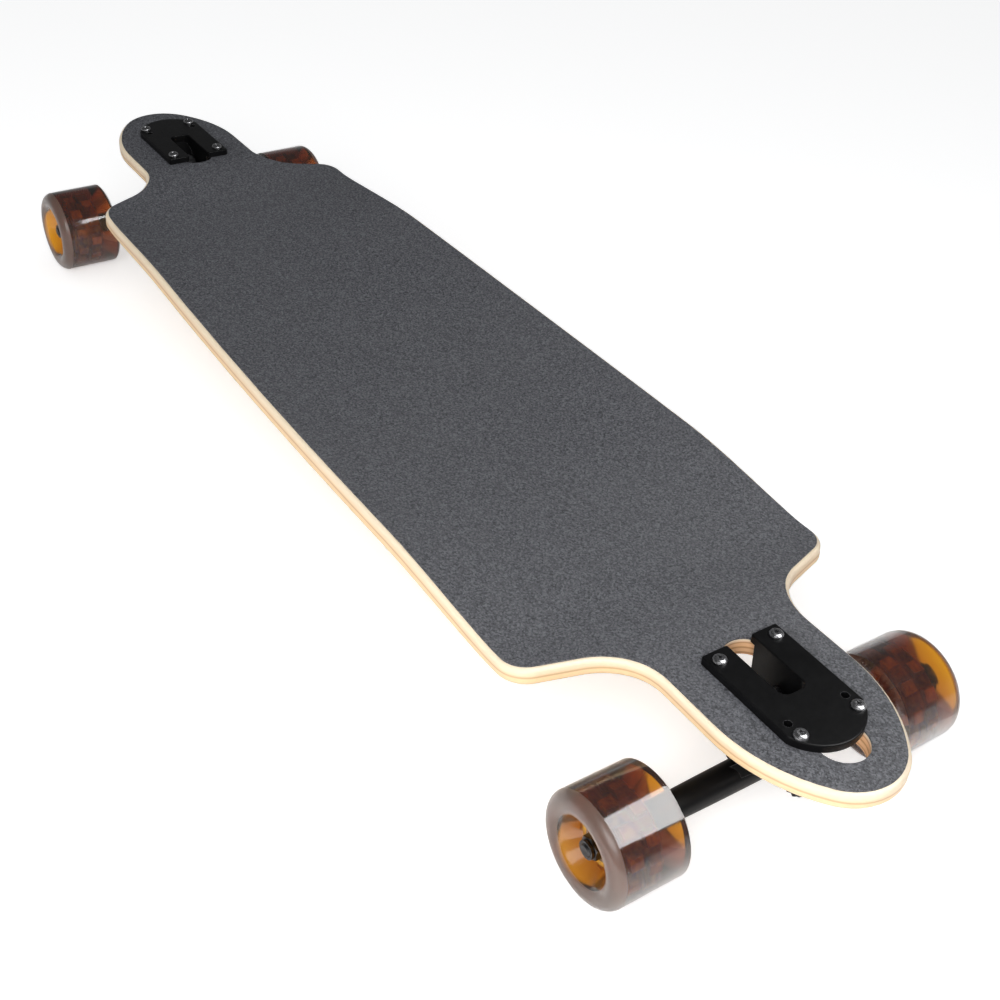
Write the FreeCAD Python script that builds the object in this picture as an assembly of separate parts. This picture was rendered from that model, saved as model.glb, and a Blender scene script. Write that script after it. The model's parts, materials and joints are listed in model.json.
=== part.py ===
import FreeCAD, Part
import math
import os

from FreeCAD import Placement, Rotation, Vector

# Drop-through longboard. Millimetres, +X towards the nose, +Y to the rider's left, +Z up.
# The origin lies on the ground, below the middle of the deck.

# Deck outline: seen from above, the wide platform narrows to a neck at each truck.
# Stations along the deck are measured from its tips.
deck_length = 963.0
nose_half_width = 118.1      # platform half width at the nose shoulder
middle_half_width = 119.3
tail_half_width = 109.0
shoulder_from_tip = 166.5    # where a rail, drawn on, would meet the shoulder
neck_from_tip = 145.0        # where the shoulder, drawn on, would meet the neck
neck_half_width = 52.5
shoulder_radius = 19.7
neck_radius = 40.3
round_from_tip = 79.5        # where the neck starts to round into the end
tip_radius = 36.7

# Deck section: plies pressed into a low, rockered platform with raised rails
deck_thickness = 11.1
deck_top_radius = 2.5
deck_bottom_radius = 3.2
platform_drop = 6.3
drop_start_from_tip = 196.5
drop_end_from_tip = 126.5
rocker = 3.7
concave = 9.7
concave_full_from_tip = 304.5
concave_end_from_tip = 165.5
press_stations = 96          # sections of the pressed surface along the board
press_ribs = 8               # sections across it
press_margin = 15.0
press_tolerance = 0.001
rim_reach = 2.0              # how near an edge of the rim lies to its nominal depth

# Grip tape
grip_thickness = 1.0
grip_inset = 2.6
glue_gap = 0.05

# Truck mounting: the plate lies on the grip tape and its body drops through the deck
mount_from_tip = 78.5        # centre of a bolt pattern from the tip of the deck
bolt_pattern_x = 63.5
bolt_pattern_y = 41.28
short_pattern_x = 53.98      # second pair of outer holes in the plate
cutout_inner = 45.0
cutout_outer = 57.5
cutout_half_width = 15.5
seat_gap = 0.1               # plate on grip tape, and nut under deck

# Mounting bolts and nuts
bolt_radius = 2.4
bolt_clearance = 0.1
bolt_head_radius = 4.3
bolt_head_height = 2.5
bolt_head_rim = 0.9
bolt_head_flat = 1.6         # radius of the flat top of the head
bolt_length = 28.6
mount_nut_flats = 9.5
mount_nut_height = 5.5

# Truck baseplate
plate_thickness = 5.2
plate_half_width = 27.3
plate_inner = 39.5           # bolt pattern centre to the ends of the arms
plate_outer = 47.5           # bolt pattern centre to the rounded end
plate_round_start = 29.0
plate_corner_radius = 1.5
plate_edge_radius = 0.8
slot_half_width = 8.8
slot_corner_radius = 5.5
slot_end = 6.5
web_thickness = 5.5
web_inner = 35.5
web_outer = 15.0
pier_half_width = 7.0        # the body narrows to this between the kingpin seat and the pivot
pier_depth = 52.0
king_wall = 8.0

# Steering geometry, in the plane that halves the truck
axle_height = 58.6           # from the mounting plane down to the axle
axle_set_back = 4.0          # axle towards the middle of the board from the bolt pattern centre
steer_angle = 45.0           # steering axis above the mounting plane
axle_to_ring = 26.0          # along the steering axis
axle_rake = 7.0              # across the steering axis
axle_to_pivot = 17.5         # along the steering axis

# Kingpin and its stack of bushings
king_radius = 4.76
king_clearance = 0.08
king_flats = 14.3
king_head_height = 6.4
king_nut_height = 8.0
king_nut_collar = 2.5
king_collar_radius = 6.4
king_tail = 1.6              # thread left below the nut
king_tip_bevel = 1.2
bushing_height = 12.5
bushing_radius = 14.0
bushing_waist = 10.6         # small end of the road side cone
bushing_chamfer = 1.2
cup_washer_thickness = 1.6
cup_washer_lip = 2.4
cup_washer_wall = 1.0
washer_gap = 0.1

# Hanger
ring_radius = 17.5
ring_height = 10.0
ring_hole_radius = 7.6
ring_seat_depth = 1.0
ring_edge_radius = 1.5
hanger_half_length = 90.0
hanger_end_radius = 7.8
hanger_arm_radius = 8.6
hanger_arm_y = 62.0
hanger_root_radius = 9.2
hanger_root_y = 16.0
gusset_half_span = 46.0
gusset_waist_x = 16.0
gusset_waist_y = 22.5
gusset_top = 2.5
gusset_bottom = 9.5
nose_radius = 4.6
nose_root_radius = 9.0
nose_straight = 6.0

# Pivot cup and the housing that holds it
pivot_clearance = 0.06
cup_wall = 1.6
cup_floor = 0.6
cup_lip_radius = 7.4
cup_lip = 1.4
cup_flare = 1.4
housing_wall = 2.0
housing_floor = 2.0
housing_round = 6.0

# Axle, nuts and washers
axle_radius = 4.0
axle_fit = 0.02
axle_tail = 1.0
axle_chamfer = 0.8
axle_nut_flats = 12.7
axle_nut_height = 7.5
axle_nut_collar = 2.0
axle_collar_radius = 5.6
hex_bevel = 0.6              # end bevel of a hexagon, as a share of its corner height
speed_washer_radius = 5.6
speed_washer_thickness = 1.0

# Ball bearings, two in each wheel
bearing_outer_radius = 11.0
bearing_width = 7.0
bearing_fit = 0.02
race_inner_land = 6.05
race_outer_land = 8.95
ball_count = 7
ball_pitch_radius = 7.5
ball_radius = 1.95
groove_clearance = 0.05
cage_wall = 1.1
cage_width = 5.2
cage_clearance = 0.1
shield_thickness = 0.4
shield_gap = 0.3
spacer_length = 10.0
spacer_radius = 5.6

# Wheels
wheel_radius = 34.0
tread_inner = 22.0           # middle of the bearing pair to the inner end of the tread
tread_outer = 19.1
lip_inner = 25.0             # middle of the bearing pair to the fullest point of the lip
lip_outer = 25.6
lip_inner_radius = 29.0      # radius of that point
lip_outer_radius = 27.7
recess_inner = 24.3          # middle of the bearing pair to the edge of the recess
recess_outer = 22.3
recess_radius = 20.0
core_radius = 14.0
core_stop_radius = 9.5
core_lug_radius = 19.5
core_lug_width = 6.4
core_lug_length = 8.0
core_lug_offset = 6.0        # middle of the bearing pair to the middle of a row of lugs
core_lugs = 8                # in each of two rows, staggered
core_lug_bite = 1.0          # how deep a lug sits in the hub

# Worked out from the driving dimensions
half_length = deck_length / 2
shoulder_x = half_length - shoulder_from_tip
neck_x = half_length - neck_from_tip
end_arc_x = half_length - round_from_tip
drop_start_x = half_length - drop_start_from_tip
drop_end_x = half_length - drop_end_from_tip
concave_full_x = half_length - concave_full_from_tip
concave_end_x = half_length - concave_end_from_tip
mount_x = half_length - mount_from_tip
mount_z = wheel_radius + axle_height
deck_top_z = mount_z - grip_thickness - glue_gap
deck_bottom_z = deck_top_z - deck_thickness
bushing_seat = ring_height / 2 - ring_seat_depth
king_seat = bushing_seat + bushing_height + cup_washer_thickness
king_head_seat = king_seat + king_wall
pivot_x = -(axle_to_ring + axle_to_pivot)
cup_rim_x = pivot_x + nose_straight
cup_radius = nose_radius + pivot_clearance + cup_wall
housing_radius = cup_radius + pivot_clearance + housing_wall
bearing_inner_y = hanger_half_length + speed_washer_thickness
bearing_outer_y = bearing_inner_y + bearing_width + spacer_length
wheel_y = bearing_inner_y + bearing_width + spacer_length / 2
axle_nut_y = bearing_outer_y + bearing_width + speed_washer_thickness
axle_half_length = axle_nut_y + axle_nut_height + axle_tail
axle_x = mount_x - axle_set_back

along_x = Vector(1, 0, 0)
along_y = Vector(0, 1, 0)
along_z = Vector(0, 0, 1)
origin = Vector(0, 0, 0)


def polygon_face(points):
    return Part.Face(Part.makePolygon(points + points[:1]))


def lathe_points(profile, axis):
    """Places (along, radius) pairs in a plane through an axis."""
    side = along_z if axis != along_z else along_x
    return [axis * along + side * radius for along, radius in profile]


def lathe(profile, axis):
    """Turns a closed list of (along, radius) pairs about an axis through the origin."""
    return polygon_face(lathe_points(profile, axis)).revolve(origin, axis, 360)


def rounded_lathe(profile, round_middle, axis):
    """As lathe, but an arc through a middle point closes the profile from its last pair to its first."""
    points = lathe_points(profile, axis)
    middle = lathe_points([round_middle], axis)[0]
    edges = [Part.makeLine(a, b) for a, b in zip(points, points[1:])]
    edges.append(Part.Arc(points[-1], middle, points[0]).toShape())
    return Part.Face(Part.Wire(edges)).revolve(origin, axis, 360)


def tube(axis, start, end, inner, outer):
    return lathe([(start, inner), (end, inner), (end, outer), (start, outer)], axis)


def hexagon(axis, start, end, flats):
    """Hexagonal bar whose outer end has its corners turned off."""
    corner = flats / 2 / math.cos(math.pi / 6)
    side = along_z if axis != along_z else along_x
    turn = Rotation(axis, 60)
    points = [axis * start + side * corner]
    while len(points) < 6:
        points.append(turn.multVec(points[-1]))
    bar = polygon_face(points).extrude(axis * (end - start))
    bevel = (corner - flats / 2) * hex_bevel * (1 if end > start else -1)
    turned = lathe([(start, 0), (end, 0), (end, flats / 2), (end - bevel, corner), (start, corner)], axis)
    return bar.common(turned)


def slot_prism(inner, outer, half_width, bottom, top):
    """Upright prism of a slot with round ends, along X."""
    start = inner + half_width
    end = outer - half_width
    edges = [
        Part.LineSegment(Vector(start, half_width, bottom), Vector(end, half_width, bottom)),
        Part.Arc(
            Vector(end, half_width, bottom),
            Vector(outer, 0, bottom),
            Vector(end, -half_width, bottom),
        ),
        Part.LineSegment(Vector(end, -half_width, bottom), Vector(start, -half_width, bottom)),
        Part.Arc(
            Vector(start, -half_width, bottom),
            Vector(inner, 0, bottom),
            Vector(start, half_width, bottom),
        ),
    ]
    wire = Part.Wire([edge.toShape() for edge in edges])
    return Part.Face(wire).extrude(along_z * (top - bottom))


def bolt_places(pattern_x=bolt_pattern_x):
    return [Vector(x, y, 0) for x in (-bolt_pattern_x / 2, pattern_x - bolt_pattern_x / 2)
            for y in (-bolt_pattern_y / 2, bolt_pattern_y / 2)]


def moved(shape, offset):
    copy = shape.copy()
    copy.translate(offset)
    return copy


def at_truck(shape, end):
    """From the truck's own frame (bolt pattern centre, mounting plane) to the nose or the tail."""
    copy = shape.copy()
    if end < 0:
        copy.rotate(origin, along_z, 180)
    copy.translate(Vector(end * mount_x, 0, mount_z))
    return copy


def from_steer(shape):
    """From the steering frame (ring centre, X along the steering axis, Z up the kingpin)."""
    lean = Rotation(along_y, -steer_angle)
    axle = Vector(-axle_set_back, 0, -axle_height)
    ring = axle + lean.multVec(Vector(axle_to_ring, 0, axle_rake))
    copy = shape.copy()
    copy.Placement = Placement(ring, lean).multiply(copy.Placement)
    return copy


def on_axle(shape, side):
    """From a frame about the axle to the truck's own frame, on one side of the truck."""
    copy = shape.copy()
    if side < 0:
        copy.rotate(origin, along_z, 180)
    copy.translate(Vector(-axle_set_back, 0, -axle_height))
    return copy


# Deck and grip tape

def end_arcs(end, inset):
    """Half of a rounded deck end: side arc from the neck, then tip arc to the centre line."""
    tip_x = half_length - tip_radius
    reach = tip_x - end_arc_x
    narrowing = neck_half_width - tip_radius
    side_radius = (reach ** 2 + neck_half_width ** 2 - tip_radius ** 2) / (2 * narrowing)
    centre = Vector(end_arc_x, neck_half_width - side_radius, 0)
    tip = Vector(tip_x, 0, 0)
    turn = math.atan2(tip.y - centre.y, tip.x - centre.x)

    def around(middle, radius, angle):
        return Vector(
            end * (middle.x + radius * math.cos(angle)),
            middle.y + radius * math.sin(angle),
            0,
        )

    side = [around(centre, side_radius - inset, angle)
            for angle in (math.pi / 2, (math.pi / 2 + turn) / 2, turn)]
    nose = [around(tip, tip_radius - inset, angle) for angle in (turn, turn / 2, 0)]
    return [Part.Arc(*side), Part.Arc(*nose)]


def upright_edges(solid, places):
    """Upright edges of a prism that stand at one of some X places."""
    return [edge for edge in solid.Edges
            if abs(edge.tangentAt(edge.FirstParameter).z) > 0.5
            and any(abs(edge.Vertexes[0].X - place) < 0.01 for place in places)]


def deck_prism(inset):
    """Upright prism of the deck outline, drawn in by an inset all round."""
    corners = {}
    for end, half_width in ((1, nose_half_width), (-1, tail_half_width)):
        lean = math.atan2(neck_x - shoulder_x, half_width - neck_half_width)
        shift = inset * (math.tan(lean) - 1 / math.cos(lean))
        corners[end] = (
            Vector(end * (shoulder_x + shift), half_width - inset, 0),
            Vector(end * (neck_x + shift), neck_half_width - inset, 0),
            Vector(end * end_arc_x, neck_half_width - inset, 0),
        )
    rail = Part.Arc(corners[-1][0], Vector(0, middle_half_width - inset, 0), corners[1][0])
    half = [rail.toShape()]
    for end in (1, -1):
        shoulder, neck, round_start = corners[end]
        half.append(Part.makeLine(shoulder, neck))
        half.append(Part.makeLine(neck, round_start))
        half.extend(arc.toShape() for arc in end_arcs(end, inset))
    other = [edge.mirror(origin, along_y) for edge in half]
    wire = Part.Wire(Part.__sortEdges__(half + other))
    prism = Part.Face(wire).extrude(along_z * (2 * mount_z))
    shoulders = upright_edges(prism, [corners[end][0].x for end in corners])
    prism = prism.makeFillet(shoulder_radius - inset, shoulders)
    necks = upright_edges(prism, [corners[end][1].x for end in corners])
    return prism.makeFillet(neck_radius + inset, necks)


def smooth_step(start, end, value):
    share = min(max((value - start) / (end - start), 0.0), 1.0)
    return share * share * (3 - 2 * share)


def pressed_height(x, y):
    """Top of the pressed plies: level at the trucks, dropped and rockered between, rails raised."""
    bend = smooth_step(drop_start_x, drop_end_x, abs(x))
    fade = smooth_step(concave_full_x, concave_end_x, abs(x))
    reach = min(abs(x) / drop_end_x, 1.0)
    dip = platform_drop * (1 - bend) + rocker * (1 - reach ** 2) ** 2
    rise = concave * (1 - fade) * (y / middle_half_width) ** 2
    return deck_top_z - dip + rise


def pressed_face():
    length = half_length + press_margin
    width = middle_half_width + press_margin
    grid = []
    for i in range(press_stations + 1):
        x = length * (2 * i / press_stations - 1)
        row = [width * (2 * j / press_ribs - 1) for j in range(press_ribs + 1)]
        grid.append([Vector(x, y, pressed_height(x, y)) for y in row])
    surface = Part.BSplineSurface()
    surface.interpolate(grid)
    return surface.toShape()


def deck_openings():
    """The cut-outs and bolt holes that go through the deck and the grip tape."""
    cutout = slot_prism(-cutout_inner, cutout_outer, cutout_half_width, -mount_z, mount_z)
    drill = Part.makeCylinder(bolt_radius + bolt_clearance, 2 * mount_z, Vector(0, 0, -mount_z))
    tools = [cutout] + [moved(drill, place) for place in bolt_places()]
    return [at_truck(tool, end) for tool in tools for end in (1, -1)]


def rim_edges(board, depth):
    """Edges round the rim of the deck, at some depth below its pressed top."""
    rim = []
    for edge in board.Edges:
        middle = (edge.FirstParameter + edge.LastParameter) / 2
        place = edge.valueAt(middle)
        level = abs(edge.tangentAt(middle).z) < math.sqrt(0.5)
        if level and abs(pressed_height(place.x, place.y) - place.z - depth) < rim_reach:
            rim.append(edge)
    return rim


def deck():
    """Plies of even thickness, so that the rim stands square to the pressed surface."""
    sheet = pressed_face().common(deck_prism(0)).Faces[0]
    board = sheet.makeOffsetShape(-deck_thickness, press_tolerance, fill=True)
    board = board.makeFillet(deck_top_radius, rim_edges(board, 0))
    board = board.makeFillet(deck_bottom_radius, rim_edges(board, deck_thickness))
    return board.cut(deck_openings())


def grip_tape():
    sheet = pressed_face()
    sheet.translate(along_z * glue_gap)
    return sheet.extrude(along_z * grip_thickness).common(deck_prism(grip_inset)).cut(deck_openings())


# Truck parts that stay with the deck

def plate_outline():
    """Plan of the plate: two straight sides, square inner end, round outer end."""
    corners = [Vector(plate_round_start, -plate_half_width, 0), Vector(-plate_inner, -plate_half_width, 0),
               Vector(-plate_inner, plate_half_width, 0), Vector(plate_round_start, plate_half_width, 0)]
    edges = [Part.makeLine(a, b) for a, b in zip(corners, corners[1:])]
    edges.append(Part.Arc(corners[-1], Vector(plate_outer, 0, 0), corners[0]).toShape())
    return Part.Face(Part.Wire(edges))


def steer_point(x, z):
    return from_steer(Part.Vertex(Vector(x, 0, z))).Point


def baseplate():
    # Slot for the kingpin head, open towards the middle of the board
    reach = plate_inner + plate_outer
    depth = mount_z
    slot_corner = Vector(-reach, -slot_half_width, -depth)
    slot = Part.makeBox(reach + slot_end, 2 * slot_half_width, 2 * depth, slot_corner)
    slot = slot.makeFillet(slot_corner_radius, upright_edges(slot, [slot_end]))

    flange = plate_outline().extrude(along_z * plate_thickness).cut(slot)
    flange = flange.makeFillet(plate_corner_radius, upright_edges(flange, [-plate_inner]))
    rim = [edge for edge in flange.Edges if edge.BoundBox.ZMin > plate_thickness - 0.01]
    flange = flange.makeFillet(plate_edge_radius, rim)
    flange.translate(along_z * seat_gap)

    # Two webs and the wall between them carry the kingpin seat and the pivot housing
    half_width = slot_half_width + web_thickness
    seat_reach = bushing_radius + cup_washer_wall
    pivot = steer_point(pivot_x, 0)
    side = [
        Vector(-web_inner, 0, seat_gap + plate_thickness / 2),
        pivot + Vector(-housing_radius, 0, 0),
        pivot,
        steer_point(cup_rim_x, housing_radius),
        steer_point(-seat_reach, king_seat),
        steer_point(seat_reach, king_seat),
        Vector(web_outer, 0, seat_gap),
        Vector(web_outer, 0, seat_gap + plate_thickness / 2),
    ]
    body = polygon_face(side).extrude(along_y * (2 * half_width))
    body.translate(along_y * -half_width)
    taper_start = steer_point(-seat_reach, king_seat).z
    half_front = [(half_width, plate_thickness), (half_width, taper_start), (pier_half_width, -pier_depth),
                  (pier_half_width, -mount_z)]
    front = [Vector(-mount_x, y, z) for y, z in half_front]
    front += [Vector(-mount_x, -y, z) for y, z in reversed(half_front)]
    body = body.common(polygon_face(front).extrude(along_x * (2 * mount_x)))

    # Pivot housing: a closed cup on the steering axis
    housing_end = pivot_x - nose_radius - cup_floor - pivot_clearance - housing_floor
    housing = tube(along_x, housing_end, cup_rim_x, 0, housing_radius)
    back = [edge for edge in housing.Edges
            if edge.BoundBox.XMax < housing_end + 0.01 and edge.BoundBox.YLength > housing_radius]
    housing = housing.makeFillet(housing_round, back)
    plate = flange.fuse([body, from_steer(housing)])

    above = Part.makeBox(4 * reach, 4 * reach, 2 * depth, Vector(-2 * reach, -2 * reach, king_head_seat))
    plate = plate.cut(slot.common(from_steer(above)))

    cup_seat = housing_end + housing_floor
    cup_room = tube(along_x, cup_seat, 0, 0, cup_radius + pivot_clearance)
    room_end = tube(along_x, cup_rim_x, 0, 0, housing_radius)
    king_bore = Part.makeCylinder(king_radius + king_clearance, 2 * king_head_seat)
    drill = Part.makeCylinder(bolt_radius + bolt_clearance, 2 * depth, Vector(0, 0, -depth))
    places = bolt_places() + bolt_places(short_pattern_x)[2:]
    tools = [from_steer(tool) for tool in (cup_room, room_end, king_bore)]
    return plate.cut(tools + [moved(drill, place) for place in places]).removeSplitter()


def pivot_cup():
    """Bushing for the hanger's nose: round floor, and a lip on the rim of the housing."""
    bore = nose_radius + pivot_clearance
    end = pivot_x - bore - cup_floor
    half_root = bore * math.sqrt(0.5)
    rim = cup_rim_x + cup_lip
    outline = [(pivot_x - bore, 0), (end, 0), (end, cup_radius), (cup_rim_x, cup_radius),
               (cup_rim_x, cup_lip_radius), (rim, cup_lip_radius), (rim, bore + cup_flare),
               (cup_rim_x, bore), (pivot_x, bore)]
    return from_steer(rounded_lathe(outline, (pivot_x - half_root, half_root), along_x))


def kingpin():
    end = -(king_seat + king_nut_height + king_tail)
    tip = end + king_tip_bevel
    shank = lathe([(end, 0), (king_head_seat, 0), (king_head_seat, king_radius), (tip, king_radius),
                   (end, king_radius - king_tip_bevel)], along_z)
    head = hexagon(along_z, king_head_seat, king_head_seat + king_head_height, king_flats)
    return from_steer(shank.fuse(head).removeSplitter())


def kingpin_nut():
    start = -king_seat
    end = start - king_nut_height
    bore = king_radius + king_clearance
    body = hexagon(along_z, start, end + king_nut_collar, king_flats)
    collar = tube(along_z, end, end + king_nut_collar, 0, king_collar_radius)
    return from_steer(body.fuse(collar).cut(tube(along_z, start, end, 0, bore)).removeSplitter())


def boardside_bushing():
    """Barrel between the baseplate and the ring of the hanger."""
    bore = king_radius + king_clearance
    start = bushing_seat + washer_gap
    end = bushing_seat + bushing_height - washer_gap
    rim = bushing_radius - cup_washer_wall - washer_gap
    profile = [(start, bore), (end, bore), (end, rim - bushing_chamfer), (end - bushing_chamfer, rim),
               (start + bushing_chamfer, rim), (start, rim - bushing_chamfer)]
    return from_steer(lathe(profile, along_z))


def roadside_bushing():
    """Cone between the ring of the hanger and the washer at the nut."""
    bore = king_radius + king_clearance
    start = -bushing_seat - washer_gap
    end = -bushing_seat - bushing_height + washer_gap
    rim = bushing_radius - cup_washer_wall - washer_gap
    waist = bushing_waist - washer_gap
    profile = [(start, bore), (end, bore), (end, waist - bushing_chamfer),
               (end + bushing_chamfer, waist), (end + cup_washer_lip, waist),
               (start - bushing_chamfer, rim), (start, rim - bushing_chamfer)]
    return from_steer(lathe(profile, along_z))


def cup_washer(side, radius):
    """Dished washer on the far side of a bushing: side is 1 at the board, -1 at the road."""
    bore = king_radius + king_clearance
    face = side * (king_seat - cup_washer_thickness)
    back = side * king_seat
    lip = face - side * cup_washer_lip
    profile = [(face, bore), (back, bore), (back, radius), (lip, radius), (lip, radius - cup_washer_wall),
               (face, radius - cup_washer_wall)]
    return from_steer(lathe(profile, along_z))


def mounting_bolts():
    """Pan-head bolts from the plate down through the deck."""
    top = seat_gap + plate_thickness
    end = top - bolt_length
    dome = top + bolt_head_height
    shoulder = top + bolt_head_rim
    crown = bolt_head_radius - bolt_head_flat
    outline = [(dome, bolt_head_flat), (dome, 0), (end, 0), (end, bolt_radius), (top, bolt_radius),
               (top, bolt_head_radius), (shoulder, bolt_head_radius)]
    round_middle = (
        shoulder + (dome - shoulder) * math.sqrt(0.5),
        bolt_head_flat + crown * math.sqrt(0.5),
    )
    bolt = rounded_lathe(outline, round_middle, along_z)
    return Part.makeCompound([moved(bolt, place) for place in bolt_places()])


def mounting_nuts():
    top = deck_bottom_z - mount_z - seat_gap
    nut = hexagon(along_z, top, top - mount_nut_height, mount_nut_flats)
    nut = nut.cut(tube(along_z, top, top - mount_nut_height, 0, bolt_radius + bolt_clearance))
    return Part.makeCompound([moved(nut, place) for place in bolt_places()])


# Truck parts that steer

def hanger():
    """Ring round the kingpin, gussets out to the axle arms, and the nose that sits in the pivot cup."""
    ring = tube(along_z, -ring_height / 2, ring_height / 2, 0, ring_radius)
    ring = ring.makeFillet(ring_edge_radius, [edge for edge in ring.Edges if len(edge.Vertexes) == 1])

    half = [(0, hanger_root_radius), (hanger_root_y, hanger_root_radius), (hanger_arm_y, hanger_arm_radius),
            (hanger_half_length, hanger_end_radius)]
    outline = [Vector(0, y, radius) for y, radius in half]
    outline = [Vector(0, -point.y, point.z) for point in reversed(outline[1:])] + outline[1:]
    curve = Part.BSplineCurve()
    curve.interpolate(outline)
    ends = [Vector(0, hanger_half_length, 0), Vector(0, -hanger_half_length, 0)]
    edges = [curve.toShape(), Part.makeLine(outline[-1], ends[0]), Part.makeLine(*ends),
             Part.makeLine(ends[1], outline[0])]
    arms = Part.Face(Part.Wire(edges)).revolve(origin, along_y, 360)
    arms.translate(Vector(-axle_to_ring, 0, -axle_rake))

    # Gusset: sides sweep in from the arms to the ring
    wide = Vector(-axle_to_ring, gusset_half_span, 0)
    waist = Vector(-gusset_waist_x, gusset_waist_y, 0)
    narrow = Vector(0, ring_radius - ring_edge_radius, 0)
    left = Part.Arc(wide, waist, narrow).toShape()
    right = left.mirror(origin, along_y)
    outer = Part.makeLine(narrow, Vector(narrow.x, -narrow.y, 0))
    inner = Part.makeLine(Vector(wide.x, -wide.y, 0), wide)
    gusset = Part.Face(Part.Wire(Part.__sortEdges__([left, outer, right, inner])))
    gusset = gusset.extrude(along_z * (gusset_top + gusset_bottom))
    gusset.translate(along_z * -gusset_bottom)
    slope = [Vector(-axle_to_ring, 0, gusset_top - axle_rake / 2), Vector(ring_radius, 0, gusset_top),
             Vector(ring_radius, 0, -ring_height / 2 + ring_edge_radius),
             Vector(-axle_to_ring, 0, -gusset_bottom)]
    wedge = polygon_face(slope).extrude(along_y * (2 * hanger_half_length))
    wedge.translate(along_y * -hanger_half_length)
    gusset = gusset.common(wedge)

    nose_end = pivot_x - nose_radius
    half_root = math.sqrt(0.5) * nose_radius
    outline = [(nose_end, 0), (-axle_to_ring, 0), (-axle_to_ring, nose_root_radius),
               (cup_rim_x, nose_radius), (pivot_x, nose_radius)]
    nose = rounded_lathe(outline, (pivot_x - half_root, half_root), along_x)
    casting = arms.fuse([ring, gusset, nose])

    hole = Part.makeCylinder(ring_hole_radius, 2 * ring_height, Vector(0, 0, -ring_height))
    seats = [tube(along_z, side * bushing_seat, side * ring_height, 0, bushing_radius) for side in (1, -1)]
    bore = Part.makeCylinder(
        axle_radius + axle_fit,
        2 * hanger_half_length,
        Vector(-axle_to_ring, -hanger_half_length, -axle_rake),
        along_y,
    )
    return from_steer(casting.cut([hole, bore] + seats).removeSplitter())


def axle():
    end = axle_half_length
    tip = end - axle_chamfer
    small = axle_radius - axle_chamfer
    profile = [(-end, 0), (end, 0), (end, small), (tip, axle_radius), (-tip, axle_radius), (-end, small)]
    return on_axle(lathe(profile, along_y), 1)


def both_sides(shape):
    return Part.makeCompound([on_axle(solid, side) for solid in shape for side in (1, -1)])


def axle_nuts():
    collar_y = axle_nut_y + axle_nut_height - axle_nut_collar
    body = hexagon(along_y, axle_nut_y, collar_y, axle_nut_flats)
    collar = tube(along_y, collar_y, collar_y + axle_nut_collar, 0, axle_collar_radius)
    bore = tube(along_y, axle_nut_y, axle_nut_y + axle_nut_height, 0, axle_radius + axle_fit)
    return both_sides([body.fuse(collar).cut(bore).removeSplitter()])


def speed_washers():
    bore = axle_radius + axle_fit
    starts = (hanger_half_length, bearing_outer_y + bearing_width)
    return both_sides([tube(along_y, start, start + speed_washer_thickness, bore, speed_washer_radius)
                       for start in starts])


def bearing_spacers():
    start = bearing_inner_y + bearing_width
    return both_sides([tube(along_y, start, start + spacer_length, axle_radius + axle_fit, spacer_radius)])


def ball_track(middle):
    """The ring-shaped room that the balls run in."""
    track = Part.makeTorus(ball_pitch_radius, ball_radius + groove_clearance, origin, along_y)
    track.translate(along_y * middle)
    return track


def bearing_middles():
    return [start + bearing_width / 2 for start in (bearing_inner_y, bearing_outer_y)]


def inner_races():
    races = []
    for middle in bearing_middles():
        start = middle - bearing_width / 2
        ring = tube(along_y, start, start + bearing_width, axle_radius + axle_fit, race_inner_land)
        races.append(ring.cut(ball_track(middle)))
    return both_sides(races)


# Parts that turn with a wheel, or with the balls inside it

def outer_races(side):
    races = []
    for middle in bearing_middles():
        start = middle - bearing_width / 2
        ring = tube(along_y, start, start + bearing_width, race_outer_land, bearing_outer_radius)
        races.append(ring.cut(ball_track(middle)))
    return Part.makeCompound([on_axle(race, side) for race in races])


def bearing_shields(side):
    shields = []
    for middle in bearing_middles():
        for start in (middle - bearing_width / 2, middle + bearing_width / 2 - shield_thickness):
            end = start + shield_thickness
            shield = tube(along_y, start, end, race_inner_land + shield_gap, race_outer_land)
            shields.append(on_axle(shield, side))
    return Part.makeCompound(shields)


def ball_places(middle):
    step = 2 * math.pi / ball_count
    return [Vector(ball_pitch_radius * math.sin(i * step), middle, ball_pitch_radius * math.cos(i * step))
            for i in range(ball_count)]


def bearing_balls(side):
    places = [place for middle in bearing_middles() for place in ball_places(middle)]
    return Part.makeCompound([on_axle(Part.makeSphere(ball_radius, place), side) for place in places])


def bearing_cages(side):
    cages = []
    for middle in bearing_middles():
        start = middle - cage_width / 2
        inner = ball_pitch_radius - cage_wall / 2
        ring = tube(along_y, start, start + cage_width, inner, inner + cage_wall)
        pockets = [Part.makeSphere(ball_radius + cage_clearance, place) for place in ball_places(middle)]
        cages.append(on_axle(ring.cut(pockets), side))
    return Part.makeCompound(cages)


def core_solid():
    """Hub: bearing seats with a stop between them, and two rows of lugs that key into the urethane."""
    start = bearing_inner_y
    end = bearing_outer_y + bearing_width
    stop_start = bearing_inner_y + bearing_width
    stop_end = bearing_outer_y
    seat = bearing_outer_radius + bearing_fit
    profile = [(start, seat), (stop_start, seat), (stop_start, core_stop_radius),
               (stop_end, core_stop_radius), (stop_end, seat), (end, seat),
               (end, core_radius), (start, core_radius)]
    hub = lathe(profile, along_y)
    lugs = []
    for row in (-1, 1):
        lug = Part.makeBox(
            core_lug_width,
            core_lug_length,
            core_lug_radius,
            Vector(-core_lug_width / 2, wheel_y + row * core_lug_offset - core_lug_length / 2, 0),
        )
        lug = lug.cut(Part.makeCylinder(core_radius - core_lug_bite, 2 * wheel_y, origin, along_y))
        for i in range(core_lugs):
            copy = lug.copy()
            copy.rotate(origin, along_y, (i + row / 4) * 360 / core_lugs)
            lugs.append(copy)
    return hub.fuse(lugs).removeSplitter()


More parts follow.
